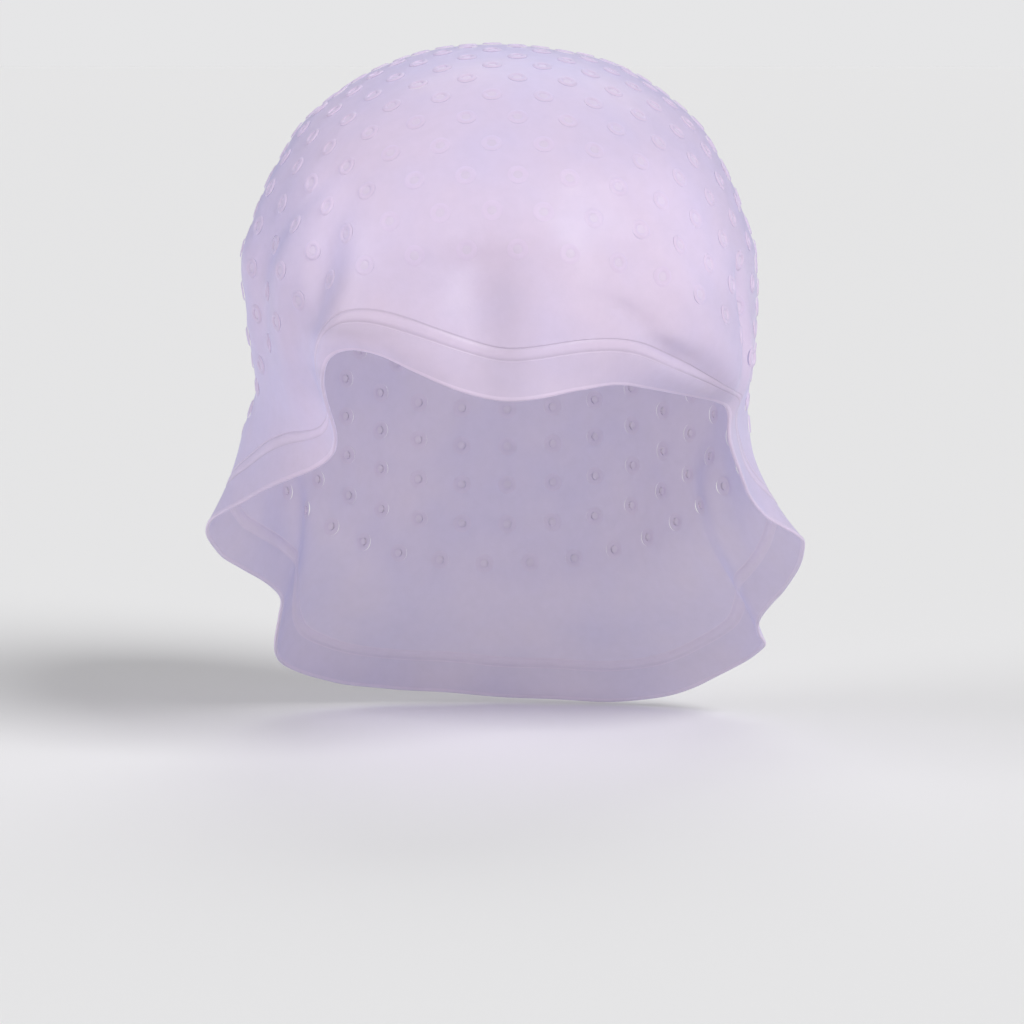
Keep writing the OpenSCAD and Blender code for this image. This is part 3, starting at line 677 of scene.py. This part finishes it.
# the membrane's milk is paler than the wall's: painted light, as where light shows through the thin film
m_film_painted_light = silicone("silicone_membrane", (0.89, 0.775, 0.915), (0.76, 0.70, 0.91), 0.84, grain=0.5)
for ob, mat, slot, stands in ((wall, m_wall, "silicone_wall", ("crown_shell", "skirt")),
                              (bead, m_bead, "silicone_bead", ("hem_bead",)),
                              (band, m_band_painted_shade, "silicone_band", ("hem_band",)),
                              (lip, m_bead, "silicone_bead", ("rim_lip",)),
                              (rings, m_ring, "silicone_ring", ("port_rings",)),
                              (membranes, m_film_painted_light, "silicone_membrane", ("port_membranes",))):
    ob.data.materials.clear()
    ob.data.materials.append(mat)
    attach(ob, "root")
    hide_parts(*stands)

# ------------------------------------------------------------------ studio
FAR, RINGS, SIDES = 60.0, 26, 96
radii = [0.25 * (FAR / 0.25) ** (i / (RINGS - 1)) for i in range(RINGS)]
sv = [(0, 0, -0.0004)] + [(r * math.cos(2 * math.pi * k / SIDES), r * math.sin(2 * math.pi * k / SIDES), -0.0004)
                          for r in radii for k in range(SIDES)]
sf = [(0, 1 + k, 1 + (k + 1) % SIDES) for k in range(SIDES)]
for i in range(RINGS - 1):
    for k in range(SIDES):
        a, b = 1 + i * SIDES, 1 + (i + 1) * SIDES
        sf.append((a + k, b + k, b + (k + 1) % SIDES, a + (k + 1) % SIDES))
me = bpy.data.meshes.new("studio_floor")
me.from_pydata(sv, [], sf)
studio = bpy.data.objects.new("studio_floor", me)
bpy.context.scene.collection.objects.link(studio)
AIR, PAPER, PAGE = 0.26, 0.84, 0.79
m_floor, nt = nodes_of("studio_paper")
fb = nt.nodes.new("ShaderNodeBsdfDiffuse")
fn = add(nt, "ShaderNodeTexNoise", Scale=3.0, Detail=2.0)
fr = add(nt, "ShaderNodeMapRange", **{"To Min": PAPER - 0.01, "To Max": PAPER + 0.01})
fc = nt.nodes.new("ShaderNodeCombineColor")
nt.links.new(fn.outputs[0], fr.inputs["Value"])
for i in range(3):
    nt.links.new(fr.outputs[0], fc.inputs[i])
nt.links.new(fc.outputs[0], fb.inputs["Color"])
fo = nt.nodes.new("ShaderNodeOutputMaterial")
nt.links.new(fb.outputs[0], fo.inputs["Surface"])
me.materials.append(m_floor)


def sun(name, at, strength, soft, colour=(1, 1, 1)):
    """A soft distant light shining from the direction at towards the cap."""
    l = bpy.data.lights.new(name, "SUN")
    l.energy, l.angle, l.color = strength, math.radians(soft), colour
    o = bpy.data.objects.new(name, l)
    o.location = at
    o.rotation_euler = (-Vector(at)).to_track_quat("-Z", "Y").to_euler()
    bpy.context.scene.collection.objects.link(o)


sun("key", (0.78, -1.0, 0.92), 2.3, 25)
sun("fill", (-1.4, -0.5, 0.55), 1.15, 40, colour=(0.98, 0.97, 1.0))
sun("rim", (0.2, 1.2, 1.2), 0.55, 40)
world = bpy.data.worlds.new("studio_air")
world.use_nodes = True
wt = world.node_tree
seen = wt.nodes["Background"]
seen.inputs[0].default_value = (PAGE, PAGE, PAGE * 1.01, 1)
lit = wt.nodes.new("ShaderNodeBackground")
lit.inputs[0].default_value = (AIR, AIR, AIR * 1.01, 1)
path = wt.nodes.new("ShaderNodeLightPath")
pick = wt.nodes.new("ShaderNodeMixShader")
wt.links.new(path.outputs["Is Camera Ray"], pick.inputs[0])
wt.links.new(lit.outputs[0], pick.inputs[1])
wt.links.new(seen.outputs[0], pick.inputs[2])
wt.links.new(pick.outputs[0], wt.nodes["World Output"].inputs["Surface"])
bpy.context.scene.world = world

cam = bpy.data.cameras.new("camera")
cam.sensor_width = 36.0
cam.lens = 4575.0 / 1024 * 36
cam.clip_start, cam.clip_end = 0.05, 50
camera = bpy.data.objects.new("camera", cam)
camera.location = (0, -1.5, 0.2325)
pitch, yaw = math.atan((512 - 45) / 4575), math.atan(12 / 4575)
camera.rotation_euler = (math.pi / 2 - pitch, 0, -yaw)
bpy.context.scene.collection.objects.link(camera)
bpy.context.scene.camera = camera
bpy.context.scene.view_settings.view_transform = "Standard"
bpy.context.scene.cycles.transparent_max_bounces = 24
